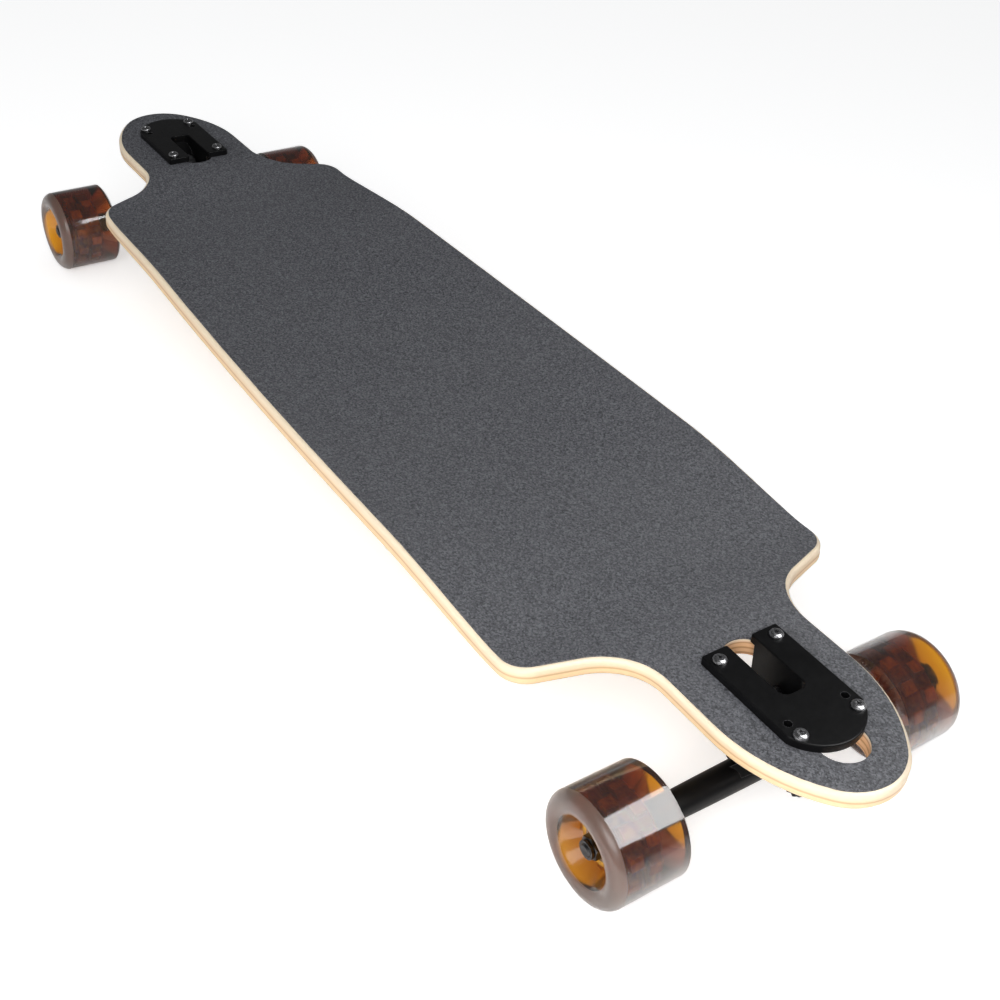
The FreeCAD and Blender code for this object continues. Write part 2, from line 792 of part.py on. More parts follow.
def tyre_solid():
    """Urethane tread with rounded lips, cast round the core, open to the bearings on both faces."""
    inner = [Vector(0, wheel_y - tread_inner, wheel_radius), Vector(0, wheel_y - lip_inner, lip_inner_radius),
             Vector(0, wheel_y - recess_inner, recess_radius)]
    outer = [Vector(0, wheel_y + tread_outer, wheel_radius), Vector(0, wheel_y + lip_outer, lip_outer_radius),
             Vector(0, wheel_y + recess_outer, recess_radius)]
    inner_seat = Vector(0, bearing_inner_y, core_radius)
    outer_seat = Vector(0, bearing_outer_y + bearing_width, core_radius)
    profile = [
        Part.makeLine(inner[0], outer[0]),
        Part.Arc(*outer).toShape(),
        Part.makeLine(outer[2], outer_seat),
        Part.makeLine(outer_seat, inner_seat),
        Part.makeLine(inner_seat, inner[2]),
        Part.Arc(*reversed(inner)).toShape(),
    ]
    return Part.Face(Part.Wire(profile)).revolve(origin, along_y, 360).cut(core_solid())


def truck_nodes(name, end):
    """Every node of one truck, as (node name, shape)."""
    fixed = {
        "baseplate": baseplate(),
        "pivot_cup": pivot_cup(),
        "kingpin": kingpin(),
        "kingpin_nut": kingpin_nut(),
        "boardside_bushing": boardside_bushing(),
        "roadside_bushing": roadside_bushing(),
        "boardside_washer": cup_washer(1, bushing_radius),
        "roadside_washer": cup_washer(-1, bushing_waist + cup_washer_wall),
        "mounting_bolts": mounting_bolts(),
        "mounting_nuts": mounting_nuts(),
        "hanger": hanger(),
        "axle": axle(),
        "axle_nuts": axle_nuts(),
        "speed_washers": speed_washers(),
        "bearing_spacers": bearing_spacers(),
        "bearing_inner_races": inner_races(),
    }
    nodes = [(f"{name}_{part}", at_truck(shape, end)) for part, shape in fixed.items()]
    core = core_solid()
    tyre = tyre_solid()
    for side in (1, -1):
        hand = "left" if side * end > 0 else "right"
        turning = {
            "wheel_tyre": on_axle(tyre, side),
            "wheel_core": on_axle(core, side),
            "bearing_outer_races": outer_races(side),
            "bearing_shields": bearing_shields(side),
            "bearing_balls": bearing_balls(side),
            "bearing_cages": bearing_cages(side),
        }
        nodes += [(f"{name}_{hand}_{part}", at_truck(shape, end)) for part, shape in turning.items()]
    return nodes


def main():
    os.makedirs("parts", exist_ok=True)
    nodes = [("deck", deck()), ("grip_tape", grip_tape())]
    nodes += truck_nodes("front", 1)
    nodes += truck_nodes("rear", -1)
    for name, shape in nodes:
        shape.exportStep(f"parts/{name}.step")
        print(name, len(shape.Solids), round(shape.Volume, 1), shape.isValid())


main()
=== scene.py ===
import json
import math
import bmesh
import bpy
from mathutils import Matrix, Vector


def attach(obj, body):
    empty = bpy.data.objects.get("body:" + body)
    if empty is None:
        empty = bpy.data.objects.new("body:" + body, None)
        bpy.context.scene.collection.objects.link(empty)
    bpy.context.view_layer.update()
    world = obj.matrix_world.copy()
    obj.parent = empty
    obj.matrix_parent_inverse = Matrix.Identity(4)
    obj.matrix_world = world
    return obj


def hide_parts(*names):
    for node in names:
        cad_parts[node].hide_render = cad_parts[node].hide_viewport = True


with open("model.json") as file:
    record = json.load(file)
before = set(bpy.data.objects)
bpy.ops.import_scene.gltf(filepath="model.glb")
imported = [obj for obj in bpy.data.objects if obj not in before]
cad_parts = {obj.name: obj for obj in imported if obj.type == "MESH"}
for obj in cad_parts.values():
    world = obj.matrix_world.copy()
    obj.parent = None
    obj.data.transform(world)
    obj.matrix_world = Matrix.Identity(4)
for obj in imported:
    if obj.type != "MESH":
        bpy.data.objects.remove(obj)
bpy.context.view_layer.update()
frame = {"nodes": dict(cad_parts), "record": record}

scene = bpy.context.scene
nodes = frame["nodes"]
print("frame loaded:", len(nodes), "nodes")


# small helpers for shader and geometry trees
def newMaterial(name):
    material = bpy.data.materials.new(name)
    material.use_nodes = True
    tree = material.node_tree
    tree.nodes.clear()
    shader = tree.nodes.new("ShaderNodeBsdfPrincipled")
    output = tree.nodes.new("ShaderNodeOutputMaterial")
    tree.links.new(shader.outputs["BSDF"], output.inputs["Surface"])
    return material, tree, shader


def outputOf(tree):
    return next(n for n in tree.nodes if n.type == "OUTPUT_MATERIAL")


def addNode(tree, kind, props=None, **sockets):
    made = tree.nodes.new(kind)
    for key, value in (props or {}).items():
        setattr(made, key, value)
    for key, value in sockets.items():
        plug(tree, made, key, value)
    return made


def plug(tree, made, key, value):
    numbered = key[0] == "i" and key[1:].isdigit()  # i0, i1 ... pick a socket by its number
    socket = made.inputs[int(key[1:]) if numbered else key.replace("_", " ")]
    if isinstance(value, bpy.types.NodeSocket):
        tree.links.new(value, socket)
    else:
        socket.default_value = value


def calc(tree, operation, a, b=0.0, clamp=False):
    made = addNode(tree, "ShaderNodeMath", {"operation": operation, "use_clamp": clamp}, i0=a, i1=b)
    return made.outputs[0]


def spread(tree, value, low, high, toLow=0.0, toHigh=1.0, kind="LINEAR"):
    made = addNode(tree, "ShaderNodeMapRange", {"interpolation_type": kind}, Value=value)
    for key, number in zip(("From Min", "From Max", "To Min", "To Max"), (low, high, toLow, toHigh)):
        made.inputs[key].default_value = number
    return made.outputs["Result"]


def ramp(tree, value, stops):
    made = addNode(tree, "ShaderNodeValToRGB", Fac=value)
    band = made.color_ramp
    while len(band.elements) < len(stops):
        band.elements.new(0.5)
    for element, (place, colour) in zip(band.elements, stops):
        element.position = place
        element.color = (*colour, 1.0)
    return made.outputs["Color"]


def objectPlace(tree, stretch=(1.0, 1.0, 1.0)):
    place = addNode(tree, "ShaderNodeTexCoord").outputs["Object"]
    return addNode(tree, "ShaderNodeMapping", Vector=place, Scale=stretch).outputs["Vector"]


def noise(tree, place, scale, detail=2.0, rough=0.5):
    made = addNode(tree, "ShaderNodeTexNoise", Vector=place, Scale=scale, Detail=detail, Roughness=rough)
    return made.outputs[0]


def mixColour(tree, share, a, b):
    made = addNode(tree, "ShaderNodeMix", {"data_type": "RGBA"})
    for index, value in ((0, share), (6, a), (7, b)):  # the colour sockets of this node
        plug(tree, made, f"i{index}", (*value, 1.0) if isinstance(value, tuple) else value)
    return made.outputs[2]


def bump(tree, height, strength, distance):
    made = addNode(tree, "ShaderNodeBump", Height=height, Strength=strength, Distance=distance)
    return made.outputs["Normal"]


def edgeMask(tree, radius, low, high):  # 1 on sharp edges, 0 on flats
    rounded = addNode(tree, "ShaderNodeBevel", {"samples": 6}, Radius=radius).outputs["Normal"]
    flat = addNode(tree, "ShaderNodeNewGeometry").outputs["Normal"]
    facing = addNode(tree, "ShaderNodeVectorMath", {"operation": "DOT_PRODUCT"}, i0=rounded, i1=flat)
    return spread(tree, facing.outputs["Value"], high, low)


# deck: pressed maple plies, read by depth under the pressed top surface; the upper plies are painted lighter, standing
# in for light from above on the top edge
deckLook = {
    "thickness": 0.0111, "topZ": 0.09155, "drop": 0.0063, "dropStart": 0.285, "dropEnd": 0.355,
    "rocker": 0.0037, "concave": 0.0097, "concaveFull": 0.177, "concaveEnd": 0.316, "halfWidth": 0.1193,
    "plies": [
        (0.00, (1.0, 0.855, 0.645)), (0.32, (1.0, 0.79, 0.55)), (0.42, (0.96, 0.69, 0.43)),
        (0.48, (0.70, 0.46, 0.25)), (0.53, (0.76, 0.49, 0.26)), (0.57, (1.0, 0.72, 0.42)),
        (0.90, (1.0, 0.72, 0.42)), (0.97, (0.90, 0.63, 0.39)), (1.00, (0.86, 0.60, 0.38)),
    ],
    "sawnPliesAndLight": [
        (0.00, (1.0, 0.82, 0.64)), (0.14, (1.0, 0.74, 0.50)), (0.22, (0.62, 0.30, 0.13)), (0.30, (0.98, 0.60, 0.33)),
        (0.46, (0.96, 0.57, 0.30)), (0.54, (0.58, 0.26, 0.10)), (0.64, (0.98, 0.61, 0.34)), (0.80, (0.95, 0.56, 0.30)),
        (0.88, (0.60, 0.28, 0.12)), (1.00, (0.92, 0.56, 0.32)),
    ],
    "cutout": (0.34, 0.465, 0.0165),  # inner end, outer end, half width
    "face": ((0.74, 0.50, 0.30), (0.86, 0.64, 0.41)), "fibreTint": (0.62, 0.36, 0.18), "poreTint": (0.46, 0.27, 0.14),
    "wander": 0.012, "wanderGrain": (14.0, 14.0, 60.0), "fibreGrain": (30.0, 420.0, 900.0),
    "faceGrain": (2.2, 70.0, 70.0), "poreGrain": (45.0, 1500.0, 1500.0),
    "coat": 0.15, "coatRough": 0.25,
}


def maplePlies():
    look = deckLook
    material, tree, shader = newMaterial("maplePlies")
    place = addNode(tree, "ShaderNodeTexCoord").outputs["Object"]
    parts = addNode(tree, "ShaderNodeSeparateXYZ", Vector=place).outputs
    along = calc(tree, "ABSOLUTE", parts["X"])
    bend = spread(tree, along, look["dropStart"], look["dropEnd"], 1.0, 0.0, "SMOOTHSTEP")
    fade = spread(tree, along, look["concaveFull"], look["concaveEnd"], 1.0, 0.0, "SMOOTHSTEP")
    reach = spread(tree, along, 0.0, look["dropEnd"])
    sag = calc(tree, "POWER", calc(tree, "SUBTRACT", 1.0, calc(tree, "POWER", reach, 2.0)), 2.0)
    dip = calc(tree, "ADD", calc(tree, "MULTIPLY", bend, look["drop"]), calc(tree, "MULTIPLY", sag, look["rocker"]))
    across = calc(tree, "DIVIDE", parts["Y"], look["halfWidth"])
    rise = calc(tree, "MULTIPLY", calc(tree, "MULTIPLY", across, across),
                calc(tree, "MULTIPLY", fade, look["concave"]))
    top = calc(tree, "ADD", calc(tree, "SUBTRACT", look["topZ"], dip), rise)
    depth = calc(tree, "DIVIDE", calc(tree, "SUBTRACT", top, parts["Z"]), look["thickness"])
    wander = noise(tree, objectPlace(tree, look["wanderGrain"]), 1.0, 3.0)
    depth = calc(tree, "ADD", depth, spread(tree, wander, 0.3, 0.7, -look["wander"], look["wander"]))
    # painted light: the ramp's top stops are lighter as light from above; the thin dark band near mid-depth is a real
    # cross-ply line
    plies = ramp(tree, depth, look["plies"])
    fibre = noise(tree, objectPlace(tree, look["fibreGrain"]), 1.0, 4.0, 0.6)
    inner, outer, width = look["cutout"]  # walls of the cut-outs show every ply
    inside = calc(tree, "MULTIPLY", calc(tree, "GREATER_THAN", along, inner), calc(tree, "LESS_THAN", along, outer))
    narrow = calc(tree, "LESS_THAN", calc(tree, "ABSOLUTE", parts["Y"]), width)
    inside = calc(tree, "MULTIPLY", inside, narrow)
    # painted light: the cut-out walls get a brighter, more orange ply ramp, standing in for light the narrow cut-outs
    # lack
    plies = mixColour(tree, inside, plies, ramp(tree, depth, look["sawnPliesAndLight"]))
    plies = mixColour(tree, spread(tree, fibre, 0.35, 0.7, 0.0, 0.14), plies, look["fibreTint"])
    grain = noise(tree, objectPlace(tree, look["faceGrain"]), 1.0, 6.0, 0.62)  # long grain of the face veneer
    face = ramp(tree, grain, [(0.34, look["face"][0]), (0.62, look["face"][1])])
    pores = noise(tree, objectPlace(tree, look["poreGrain"]), 1.0, 2.0)
    face = mixColour(tree, spread(tree, pores, 0.6, 0.72, 0.0, 0.35), face, look["poreTint"])
    normal = addNode(tree, "ShaderNodeNewGeometry").outputs["Normal"]
    upward = addNode(tree, "ShaderNodeSeparateXYZ", Vector=normal).outputs["Z"]
    colour = mixColour(tree, spread(tree, upward, -0.93, -0.985), plies, face)  # the underside shows the veneer
    tree.links.new(colour, shader.inputs["Base Color"])
    tree.links.new(spread(tree, fibre, 0.3, 0.7, 0.34, 0.5), shader.inputs["Roughness"])
    tree.links.new(bump(tree, fibre, 0.12, 0.0004), shader.inputs["Normal"])
    shader.inputs["Coat Weight"].default_value = look["coat"]
    shader.inputs["Coat Roughness"].default_value = look["coatRough"]
    return material


# grip tape: dark grit with pale grains, lightened further as painted glints
gripLook = {
    "dark": (0.02, 0.021, 0.025), "pale": (0.126, 0.128, 0.143), "paleGrainAndGlint": (0.22, 0.225, 0.252),
    "worn": (0.1, 0.102, 0.108), "grit": 620.0, "grain": 1000.0, "cloud": 9.0,
}


def gritSheet():
    look = gripLook
    material, tree, shader = newMaterial("gritSheet")
    place = objectPlace(tree)
    grit = noise(tree, place, look["grit"], 3.0, 0.7)
    grains = addNode(tree, "ShaderNodeTexVoronoi", {"feature": "F1"}, Vector=place, Scale=look["grain"])
    pick = addNode(tree, "ShaderNodeSeparateColor", Color=grains.outputs["Color"]).outputs[0]
    clouds = noise(tree, place, look["cloud"], 3.0)
    colour = ramp(tree, grit, [(0.34, look["dark"]), (0.68, look["pale"])])
    colour = mixColour(tree, spread(tree, clouds, 0.35, 0.7, 0.0, 0.22), colour, look["worn"])
    bright = spread(tree, pick, 0.5, 1.0)
    # painted glint: picked grains get a lighter colour that stands in for their sparkle, besides their lower roughness
    colour = mixColour(tree, calc(tree, "MULTIPLY", bright, 0.5), colour, look["paleGrainAndGlint"])
    tree.links.new(colour, shader.inputs["Base Color"])
    tree.links.new(spread(tree, pick, 0.0, 1.0, 0.95, 0.55), shader.inputs["Roughness"])
    height = calc(tree, "ADD", calc(tree, "MULTIPLY", grit, 0.6), calc(tree, "MULTIPLY", pick, 0.4))
    tree.links.new(bump(tree, height, 0.55, 0.0004), shader.inputs["Normal"])
    return material


# black castings: powder coat with a fine skin and pale edges, partly rubbed wear and partly a painted edge highlight
castingLook = {
    "coat": (0.003, 0.003, 0.0033), "dusty": (0.008, 0.008, 0.0085), "rubbedEdgeAndHighlight": (0.12, 0.12, 0.125),
    "edge": 0.0006, "skin": 700.0, "dust": 60.0, "gloss": 0.16,
}


def blackCasting():
    look = castingLook
    material, tree, shader = newMaterial("blackCasting")
    place = objectPlace(tree)
    skin = noise(tree, place, look["skin"], 3.0, 0.6)
    dust = noise(tree, place, look["dust"], 4.0, 0.6)
    coat = mixColour(tree, spread(tree, dust, 0.4, 0.75, 0.0, 0.5), look["coat"], look["dusty"])
    # painted highlight: the pale edge colour is part wear and part a highlight along the sharp edges
    worn = calc(tree, "MULTIPLY", edgeMask(tree, look["edge"], 0.8, 0.97), spread(tree, dust, 0.35, 0.6, 0.35, 1.0))
    tree.links.new(mixColour(tree, worn, coat, look["rubbedEdgeAndHighlight"]), shader.inputs["Base Color"])
    tree.links.new(spread(tree, skin, 0.3, 0.7, 0.3, 0.44), shader.inputs["Roughness"])
    tree.links.new(bump(tree, skin, 0.14, 0.0002), shader.inputs["Normal"])
    shader.inputs["Specular IOR Level"].default_value = look["gloss"]
    return material


# steels: brushed by stretched noise, colour and roughness set per use
steelGrain = {"streak": (260.0, 900.0, 900.0), "patch": 300.0}
steelLook = {
    "boltSteel": {"tint": (0.42, 0.42, 0.43), "shade": (0.28, 0.28, 0.29), "rough": (0.2, 0.36)},
    "darkSteel": {"tint": (0.11, 0.11, 0.115), "shade": (0.05, 0.05, 0.052), "rough": (0.3, 0.5)},
    "bearingSteel": {"tint": (0.42, 0.42, 0.43), "shade": (0.3, 0.3, 0.31), "rough": (0.18, 0.34)},
}


def steel(name):
    look = steelLook[name]
    material, tree, shader = newMaterial(name)
    streak = noise(tree, objectPlace(tree, steelGrain["streak"]), 1.0, 3.0)
    patch = noise(tree, objectPlace(tree), steelGrain["patch"], 3.0)
    tree.links.new(ramp(tree, patch, [(0.35, look["shade"]), (0.65, look["tint"])]), shader.inputs["Base Color"])
    tree.links.new(spread(tree, streak, 0.3, 0.7, *look["rough"]), shader.inputs["Roughness"])
    tree.links.new(bump(tree, streak, 0.08, 0.0002), shader.inputs["Normal"])
    shader.inputs["Metallic"].default_value = 1.0
    return material


# rubbers and plastics: clouded by noise
mouldedLook = {
    "blackRubber": {"dark": (0.012, 0.012, 0.012), "light": (0.03, 0.03, 0.03), "rough": (0.53, 0.67),
                    "scale": 500.0},
    "bushingUrethane": {"dark": (0.05, 0.018, 0.006), "light": (0.11, 0.045, 0.016), "rough": (0.27, 0.41),
                        "scale": 220.0},
    "coreAmber": {"dark": (0.34, 0.13, 0.012), "light": (0.98, 0.56, 0.06), "rough": (0.29, 0.43), "scale": 85.0},
}


def moulded(name):
    look = mouldedLook[name]
    material, tree, shader = newMaterial(name)
    cloud = noise(tree, objectPlace(tree), look["scale"], 4.0, 0.6)
    tree.links.new(ramp(tree, cloud, [(0.35, look["dark"]), (0.65, look["light"])]), shader.inputs["Base Color"])
    tree.links.new(spread(tree, cloud, 0.3, 0.7, *look["rough"]), shader.inputs["Roughness"])
    tree.links.new(bump(tree, cloud, 0.1, 0.0002), shader.inputs["Normal"])
    return material


# wheels: see-through amber urethane, glossy on the tread and satin on the lips
wheelLook = {
    "axleX": 0.399, "axleZ": 0.034, "middleY": 0.103,
    "radius": 0.034, "treadIn": -0.0220, "treadOut": 0.0191, "lipIn": (0.0290, -0.0250), "lipOut": (0.0277, 0.0256),
    "recess": 0.0200, "recessIn": -0.0243, "recessOut": 0.0223,
    "seat": 0.0140, "seatY": 0.0120, "seatChamfer": 0.0006, "bore": 0.0136,
    "steps": 168, "arcSteps": 14, "rimReach": 0.0005, "rimSteps": 4,
    "lipGap": 0.0002, "lipMargin": 0.0012, "innerSatin": 0.4,  # where the satin starts, and how much of it is inside
    "glossRough": 0.13, "satinRough": 0.2, "coat": 0.8, "coatRough": 0.03, "ior": 1.49, "haze": 90.0, "fine": 1100.0,
    "clear": ((0.95, 0.80, 0.62), (1.0, 0.90, 0.76)), "milkTint": (0.76, 0.52, 0.41), "milk": 0.15, "treadMilk": 0.02,
    "absorb": (0.88, 0.79, 0.0), "density": 480.0,
}


def wheelUrethane():
    look = wheelLook
    material, tree, shader = newMaterial("wheelUrethane")
    parts = addNode(tree, "ShaderNodeSeparateXYZ", Vector=objectPlace(tree)).outputs
    across = calc(tree, "SUBTRACT", calc(tree, "ABSOLUTE", parts["Y"]), look["middleY"])
    lipOut = calc(tree, "GREATER_THAN", across, look["treadOut"] + look["lipGap"])
    lipIn = calc(tree, "LESS_THAN", across, look["treadIn"] - look["lipGap"])
    offX = calc(tree, "SUBTRACT", calc(tree, "ABSOLUTE", parts["X"]), look["axleX"])
    offZ = calc(tree, "SUBTRACT", parts["Z"], look["axleZ"])
    squares = calc(tree, "ADD", calc(tree, "MULTIPLY", offX, offX), calc(tree, "MULTIPLY", offZ, offZ))
    spoke = calc(tree, "SQRT", squares)  # distance from the axle
    lipOut = calc(tree, "MULTIPLY", lipOut, calc(tree, "GREATER_THAN", spoke, look["recess"] + look["lipMargin"]))
    satin = calc(tree, "ADD", lipOut, calc(tree, "MULTIPLY", lipIn, look["innerSatin"]), True)
    haze = noise(tree, objectPlace(tree), look["haze"], 4.0, 0.6)
    gloss = spread(tree, haze, 0.3, 0.7, look["glossRough"] - 0.02, look["glossRough"] + 0.03)
    rough = calc(tree, "ADD", calc(tree, "MULTIPLY", satin, look["satinRough"]), gloss)
    tree.links.new(rough, shader.inputs["Roughness"])
    clear = ramp(tree, haze, list(zip((0.3, 0.7), look["clear"])))
    tree.links.new(mixColour(tree, lipOut, clear, look["milkTint"]), shader.inputs["Base Color"])
    clarity = spread(tree, lipOut, 0.0, 1.0, 1.0 - look["treadMilk"], 1.0 - look["milk"])  # outer lips are milky
    tree.links.new(clarity, shader.inputs["Transmission Weight"])
    fine = noise(tree, objectPlace(tree), look["fine"], 2.0)
    tree.links.new(bump(tree, fine, 0.02, 0.0002), shader.inputs["Normal"])
    shader.inputs["IOR"].default_value = look["ior"]
    shader.inputs["Coat Weight"].default_value = look["coat"]
    shader.inputs["Coat Roughness"].default_value = look["coatRough"]
    volume = addNode(tree, "ShaderNodeVolumeAbsorption")
    volume.inputs["Color"].default_value = (*look["absorb"], 1.0)
    volume.inputs["Density"].default_value = look["density"]
    tree.links.new(volume.outputs["Volume"], outputOf(tree).inputs["Volume"])
    return material


looks = {
    "maple_plies": maplePlies(), "grit_sheet": gritSheet(), "black_casting": blackCasting(),
    "bolt_steel": steel("boltSteel"), "dark_steel": steel("darkSteel"), "bearing_steel": steel("bearingSteel"),
    "black_rubber": moulded("blackRubber"), "bushing_urethane": moulded("bushingUrethane"),
    "core_plastic": moulded("coreAmber"), "wheel_urethane": wheelUrethane(),
}
print("materials made:", len(looks))

for part in frame["record"]["subparts"]:
    mesh = nodes[part["node"]].data
    mesh.materials.clear()
    mesh.materials.append(looks[part["material_slot"]])


# turned shapes: a closed profile of (radius, along) pairs spun about Y
turnedLook = {"sharpFrom": 32.0}  # degrees between faces


def arcThrough(a, b, c, steps):
    (ax, ay), (bx, by), (cx, cy) = a, b, c
    d = 2 * (ax * (by - cy) + bx * (cy - ay) + cx * (ay - by))
    ux = ((ax**2 + ay**2) * (by - cy) + (bx**2 + by**2) * (cy - ay) + (cx**2 + cy**2) * (ay - by)) / d
    uy = ((ax**2 + ay**2) * (cx - bx) + (bx**2 + by**2) * (ax - cx) + (cx**2 + cy**2) * (bx - ax)) / d
    radius = math.hypot(ax - ux, ay - uy)
    start = math.atan2(ay - uy, ax - ux)
    sweep = math.atan2(cy - uy, cx - ux) - start
    sweep = (sweep + math.pi) % (2 * math.pi) - math.pi
    angles = [start + sweep * i / steps for i in range(steps + 1)]
    return [(ux + radius * math.cos(angle), uy + radius * math.sin(angle)) for angle in angles]


def turned(name, profile, steps, centre):
    work = bmesh.new()
    rings = []
    for i in range(steps):
        angle = 2 * math.pi * i / steps
        sine, cosine = math.sin(angle), math.cos(angle)
        rings.append([work.verts.new((centre[0] + r * sine, centre[1] + y, centre[2] + r * cosine))
                      for r, y in profile])
    for here, there in zip(rings, rings[1:] + rings[:1]):
        for k in range(len(profile)):
            following = (k + 1) % len(profile)
            work.faces.new((here[k], here[following], there[following], there[k]))
    bmesh.ops.recalc_face_normals(work, faces=work.faces)
    mesh = bpy.data.meshes.new(name)
    work.to_mesh(mesh)
    work.free()
    mesh.shade_smooth()
    mesh.set_sharp_from_angle(angle=math.radians(turnedLook["sharpFrom"]))
    made = bpy.data.objects.new(name, mesh)
    scene.collection.objects.link(made)
    return made


def asMesh(made, name):  # what the modifiers give, as a plain mesh
    bpy.context.view_layer.update()
    graph = bpy.context.evaluated_depsgraph_get()
    mesh = bpy.data.meshes.new_from_object(made.evaluated_get(graph))
    mesh.name = name
    copy = bpy.data.objects.new(name, mesh)
    scene.collection.objects.link(copy)
    return copy


def softCorner(before, corner, after, reach, steps):  # a corner rounded by a short curve
    corner = Vector(corner)
    start = corner + (Vector(before) - corner).normalized() * reach
    stop = corner + (Vector(after) - corner).normalized() * reach
    shares = [i / steps for i in range(steps + 1)]
    return [tuple(start * (1 - t) ** 2 + corner * 2 * t * (1 - t) + stop * t ** 2) for t in shares]


def tyreProfile(side):
    look = wheelLook
    lipOut = arcThrough((look["radius"], look["treadOut"]), look["lipOut"], (look["recess"], look["recessOut"]),
                        look["arcSteps"])
    lipIn = arcThrough((look["recess"], look["recessIn"]), look["lipIn"], (look["radius"], look["treadIn"]),
                       look["arcSteps"])
    boreEnd = look["seatY"] - look["seatChamfer"]
    bore = [(look["seat"], look["seatY"]), (look["bore"], boreEnd), (look["bore"], -boreEnd),
            (look["seat"], -look["seatY"])]
    lipOut = lipOut[:-1] + softCorner(lipOut[-2], lipOut[-1], bore[0], look["rimReach"], look["rimSteps"])
    lipIn = softCorner(bore[-1], lipIn[0], lipIn[1], look["rimReach"], look["rimSteps"]) + lipIn[1:]
    return [(r, side * y) for r, y in lipOut + bore + lipIn]


boardEnds = ((1, "front"), (-1, "rear"))
boardSides = ((1, "left"), (-1, "right"))
for end, frontRear in boardEnds:
    for side, hand in boardSides:
        centre = (end * wheelLook["axleX"], side * wheelLook["middleY"], wheelLook["axleZ"])
        tyre = turned(f"{frontRear}_{hand}_urethane", tyreProfile(side), wheelLook["steps"], centre)
        tyre.data.materials.append(looks["wheel_urethane"])
        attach(tyre, f"{frontRear}_{hand}_wheel")
        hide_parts(f"{frontRear}_{hand}_wheel_tyre")
print("wheels turned")


# mounting bolts: pan head with a cross recess, ridged thread, set out by a geometry tree
boltLook = {
    "mountX": 0.403, "plateTop": 0.0979, "patternX": 0.0635, "patternY": 0.04128,
    "radius": 0.0024, "length": 0.0286, "headRadius": 0.0043, "headHeight": 0.0025, "headRim": 0.0009,
    "flat": 0.0016, "pitch": 0.0008, "threadDepth": 0.00035, "threadStart": -0.012,
    "crossLength": 0.0044, "crossWidth": 0.0011, "crossDepth": 0.0017, "crossTaper": 0.45,
    "steps": 40, "crownSteps": 8, "pole": 0.00002,  # pole: radius of the closed ends
}


def oneBolt():
    look = boltLook
    crown = arcThrough(
        (look["headRadius"], look["headRim"]),
        (look["flat"] + (look["headRadius"] - look["flat"]) * math.sqrt(0.5),
         look["headRim"] + (look["headHeight"] - look["headRim"]) * math.sqrt(0.5)),
        (look["flat"], look["headHeight"]),
        look["crownSteps"],
    )
    profile = [(look["radius"], 0.0), (look["headRadius"], 0.0)] + crown + [(look["pole"], look["headHeight"])]
    thread = []
    z = look["threadStart"]
    while z > -look["length"] + look["pitch"]:
        thread += [(look["radius"], z), (look["radius"] - look["threadDepth"], z - look["pitch"] / 2)]
        z -= look["pitch"]
    tip = look["radius"] - look["threadDepth"]
    profile += [(look["pole"], -look["length"]), (tip, -look["length"])] + thread[::-1]
    bolt = turned("boltBlank", profile, look["steps"], (0.0, 0.0, 0.0))
    bolt.data.transform(Matrix.Rotation(math.radians(90), 4, "X"))
    work = bmesh.new()
    for turn in (0, 90):
        bar = bmesh.ops.create_cube(work, size=1.0)["verts"]
        bmesh.ops.scale(work, verts=bar, vec=(look["crossLength"], look["crossWidth"], look["crossDepth"] * 2))
        for vert in bar:
            if vert.co.z < 0:
                vert.co.x *= look["crossTaper"]  # the recess narrows towards its floor
        bmesh.ops.rotate(work, verts=bar, matrix=Matrix.Rotation(math.radians(turn), 3, "Z"))
    bmesh.ops.translate(work, verts=work.verts, vec=(0, 0, look["headHeight"]))
    mesh = bpy.data.meshes.new("crossCutter")
    work.to_mesh(mesh)
    work.free()
    cutter = bpy.data.objects.new("crossCutter", mesh)
    scene.collection.objects.link(cutter)
    cut = bolt.modifiers.new("cross", "BOOLEAN")
    cut.object = cutter
    cut.operation = "DIFFERENCE"
    cut.solver = "EXACT"
    cut.use_self = True
    finished = asMesh(bolt, "bolt")
    bpy.data.objects.remove(bolt)
    bpy.data.objects.remove(cutter)
    return finished


def boltTree():
    tree = bpy.data.node_groups.new("boltPattern", "GeometryNodeTree")
    sockets = (("Bolt", "NodeSocketObject"), ("Spacing X", "NodeSocketFloat"), ("Spacing Y", "NodeSocketFloat"),
               ("Centre", "NodeSocketVector"), ("Finish", "NodeSocketMaterial"))
    for name, kind in sockets:
        tree.interface.new_socket(name, in_out="INPUT", socket_type=kind)
    tree.interface.new_socket("Geometry", in_out="OUTPUT", socket_type="NodeSocketGeometry")
    given = tree.nodes.new("NodeGroupInput").outputs
    grid = addNode(tree, "GeometryNodeMeshGrid", Size_X=given["Spacing X"], Size_Y=given["Spacing Y"],
                   Vertices_X=2, Vertices_Y=2).outputs["Mesh"]
    placed = addNode(tree, "GeometryNodeSetPosition", Geometry=grid, Offset=given["Centre"]).outputs["Geometry"]
    bolt = addNode(tree, "GeometryNodeObjectInfo", Object=given["Bolt"]).outputs["Geometry"]
    copies = addNode(tree, "GeometryNodeInstanceOnPoints", Points=placed, Instance=bolt).outputs["Instances"]
    real = addNode(tree, "GeometryNodeRealizeInstances", Geometry=copies).outputs["Geometry"]
    done = addNode(tree, "GeometryNodeSetMaterial", Geometry=real, Material=given["Finish"]).outputs["Geometry"]
    tree.links.new(done, tree.nodes.new("NodeGroupOutput").inputs["Geometry"])
    return tree


